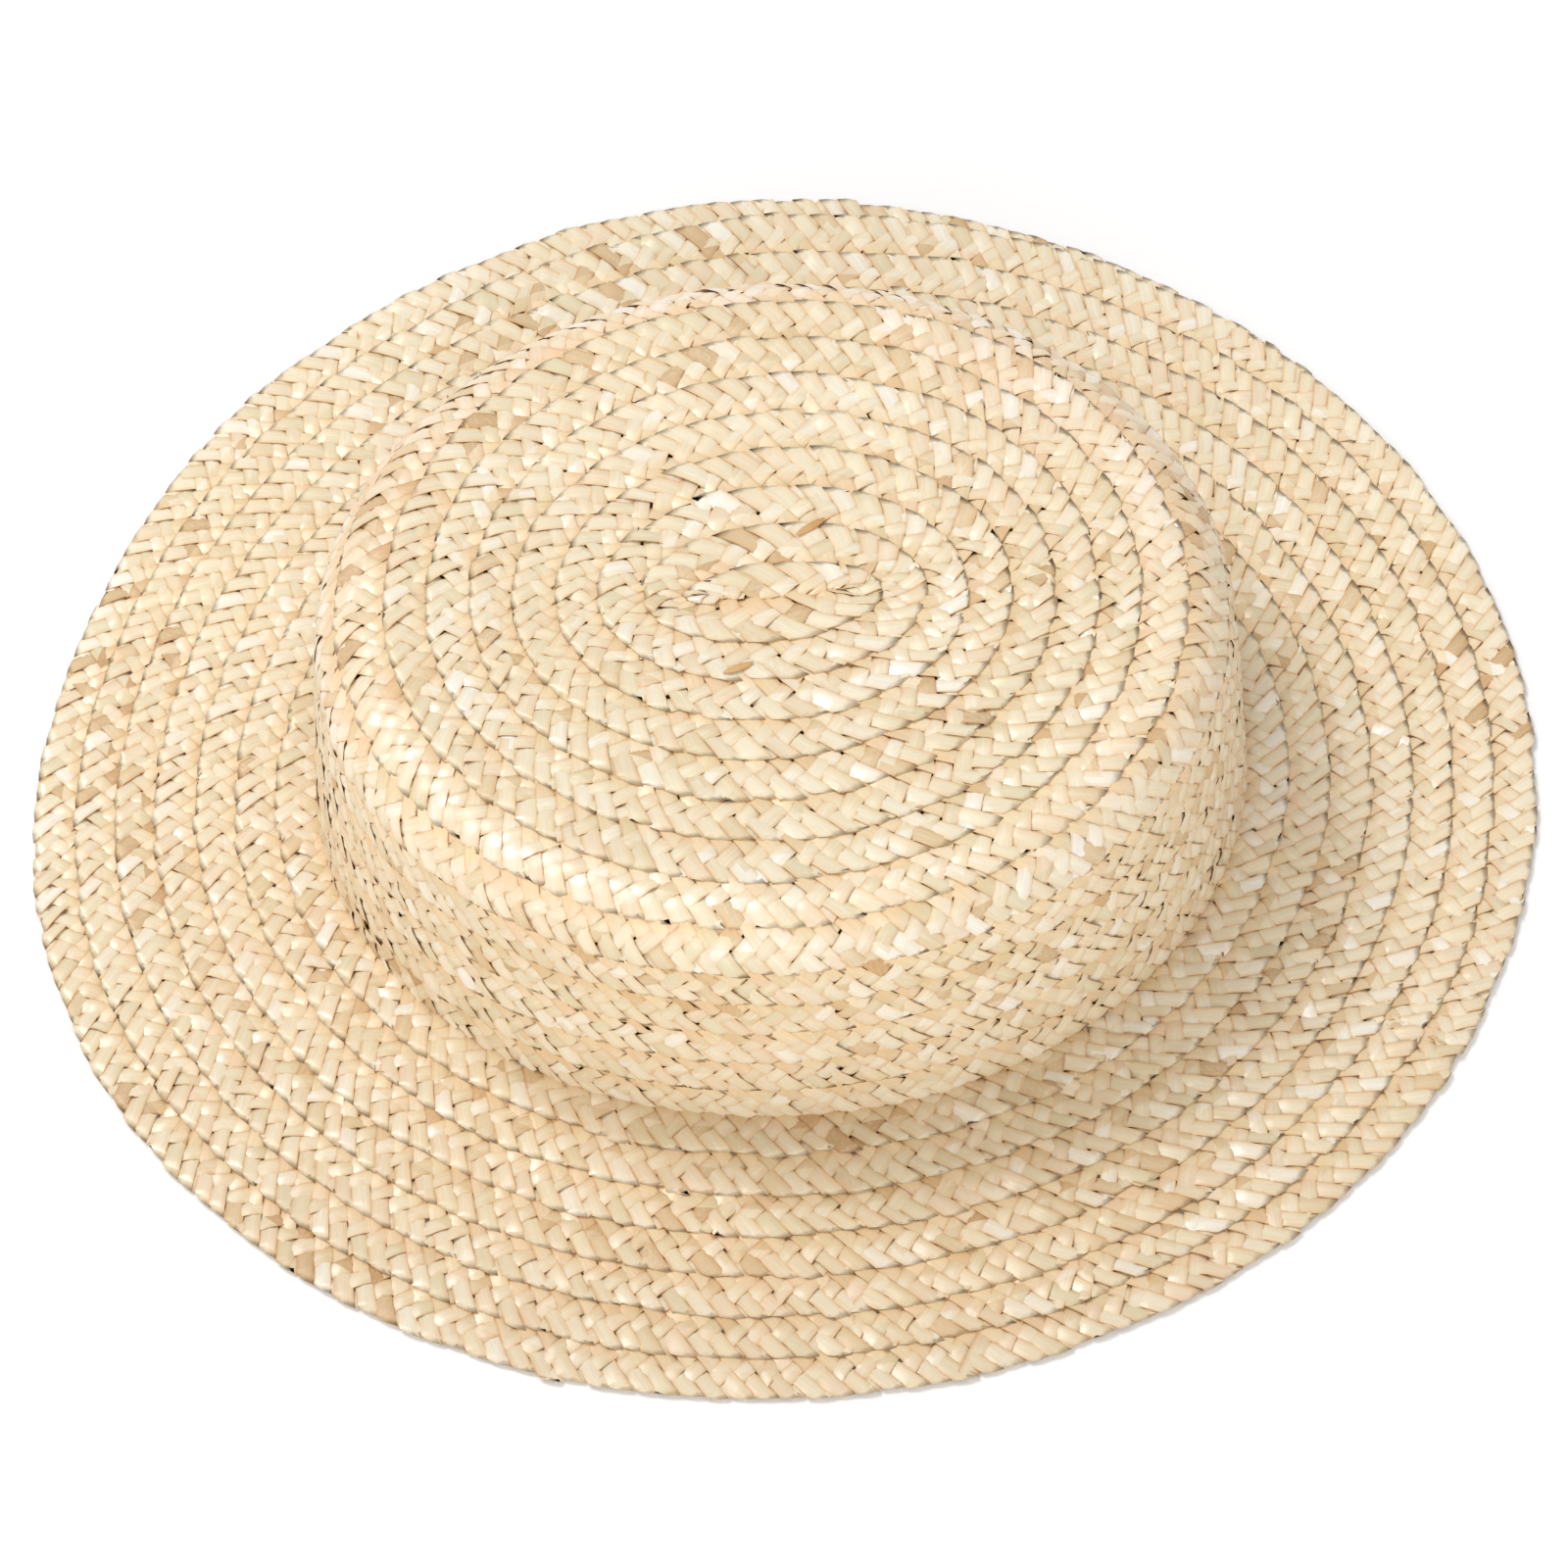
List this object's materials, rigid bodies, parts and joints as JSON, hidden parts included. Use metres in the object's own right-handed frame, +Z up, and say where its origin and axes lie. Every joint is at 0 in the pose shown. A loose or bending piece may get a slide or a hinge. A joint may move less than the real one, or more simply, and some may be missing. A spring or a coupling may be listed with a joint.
{
  "type": "straw boater hat",
  "caption": "Flat-crowned straw hat with a rounded shoulder, an upright oval wall and a wide level oval brim, sewn from rows of plait.",
  "frame": {"origin": "on the surface the brim rests on, under the middle of the hat", "axes": "+X along the oval's length, which goes front to back on a head; -Y towards the side that is nearest in the picture; +Z up out of the crown"},
  "size_m": [0.3192, 0.3115, 0.0662],
  "materials": {
    "tip_straw": "satin natural wheat-straw plait",
    "side_straw": "satin natural wheat-straw plait",
    "brim_straw": "satin natural wheat-straw plait"
  },
  "bodies": {
    "root": {"crown_tip": "tip_straw", "crown_side": "side_straw", "brim": "brim_straw"}
  },
  "joints": []
}
